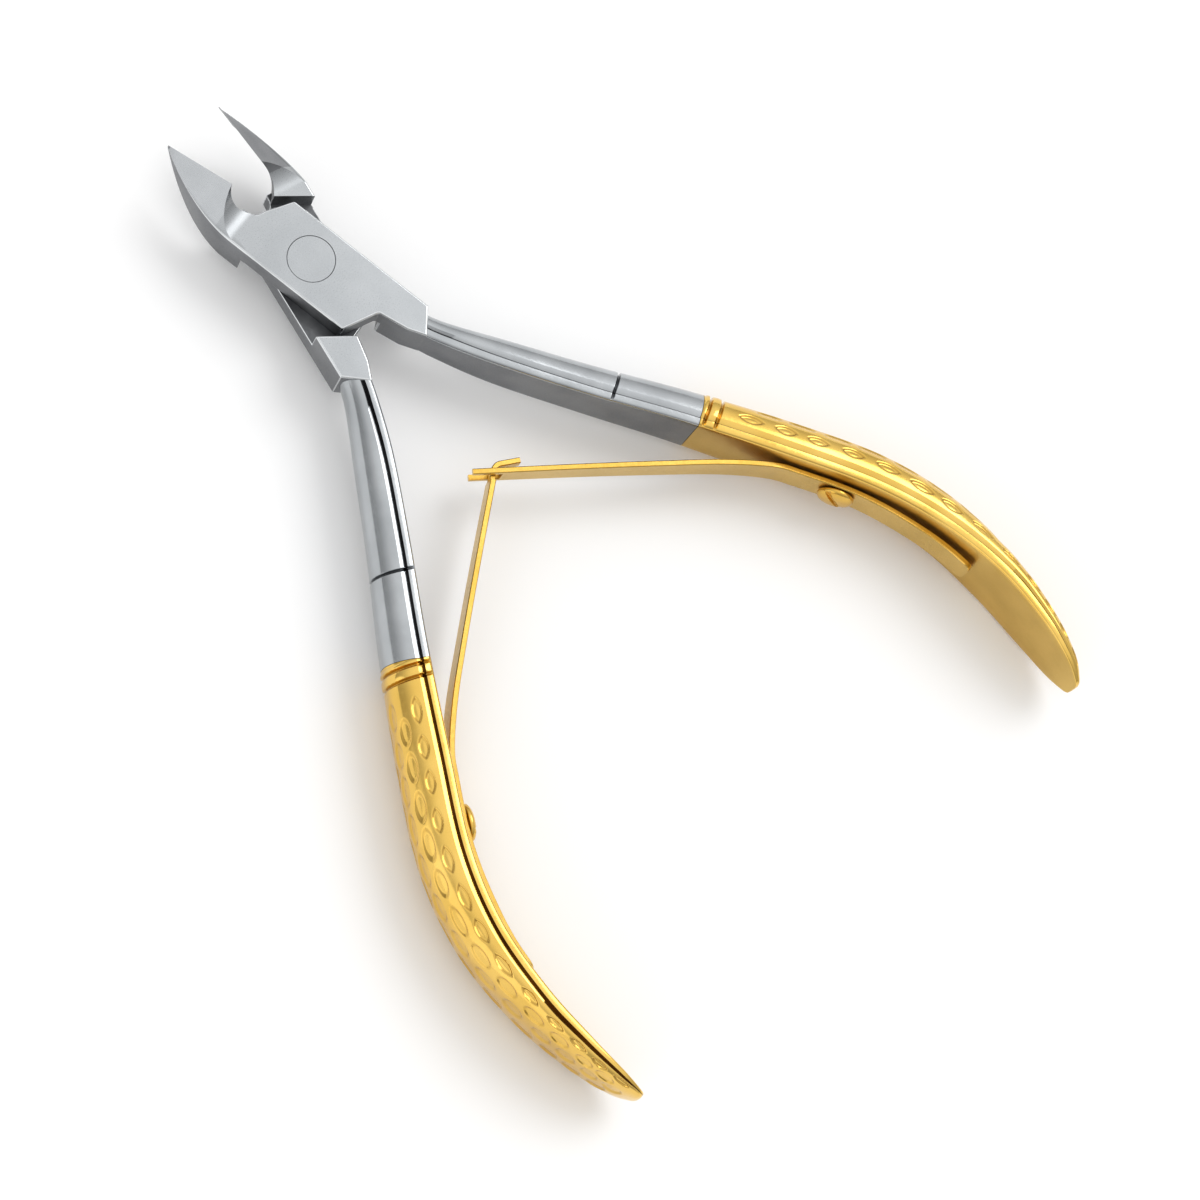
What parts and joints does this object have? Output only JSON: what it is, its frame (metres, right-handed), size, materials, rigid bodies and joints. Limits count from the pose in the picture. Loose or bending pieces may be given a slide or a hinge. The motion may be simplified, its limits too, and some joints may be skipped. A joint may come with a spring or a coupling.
{
  "type": "cuticle nipper",
  "caption": "Cuticle nipper with crossed levers on a flush rivet, ground cutting jaws, dimpled plated grips and interlocked leaf springs that hold it open.",
  "frame": {"origin": "on the rivet's axis, on the lap joint's flat underside", "axes": "+Y towards the jaw tips along the centreline between the levers, +Z out of the face that carries the cutting edges, +X towards lever A's handle"},
  "size_m": [0.0724, 0.1025, 0.0101],
  "materials": {
    "satin_steel": "satin polished stainless steel",
    "rivet_steel": "flush ground stainless steel rivet",
    "gold_plate": "bright gold plating over steel",
    "gold_spring": "satin gold plating over spring steel",
    "gold_screw": "bright gold plating over steel"
  },
  "bodies": {
    "lever_a": {"lever_a_head": "satin_steel", "lever_a_grip": "gold_plate", "pivot_rivet": "rivet_steel", "spring_a_clamp": "gold_spring", "spring_a_screw": "gold_screw"},
    "lever_b": {"lever_b_head": "satin_steel", "lever_b_grip": "gold_plate", "spring_b_clamp": "gold_spring", "spring_b_screw": "gold_screw"},
    "leaf_a": {"spring_a_leaf": "gold_spring"},
    "leaf_b": {"spring_b_leaf": "gold_spring"}
  },
  "joints": [
    {"name": "pivot", "type": "hinge", "parent": "lever_a", "child": "lever_b", "pos_m": [0, 0, 0.0025], "axis": [0, 0, 1], "range_deg": [0, 21.4], "stiffness_Nm_per_rad": 0.6},
    {"name": "leaf_a_flex", "type": "hinge", "parent": "lever_a", "child": "leaf_a", "pos_m": [0.02314, -0.04659, 0.0025], "axis": [0, 0, -1], "range_deg": [0, 13]},
    {"name": "leaf_b_flex", "type": "hinge", "parent": "lever_b", "child": "leaf_b", "pos_m": [-0.02314, -0.04659, 0.0025], "axis": [0, 0, 1], "range_deg": [0, 13]}
  ],
  "couplings": [
    {"joint": "leaf_a_flex", "follows": "pivot", "ratio": 0.6},
    {"joint": "leaf_b_flex", "follows": "pivot", "ratio": 0.6}
  ]
}
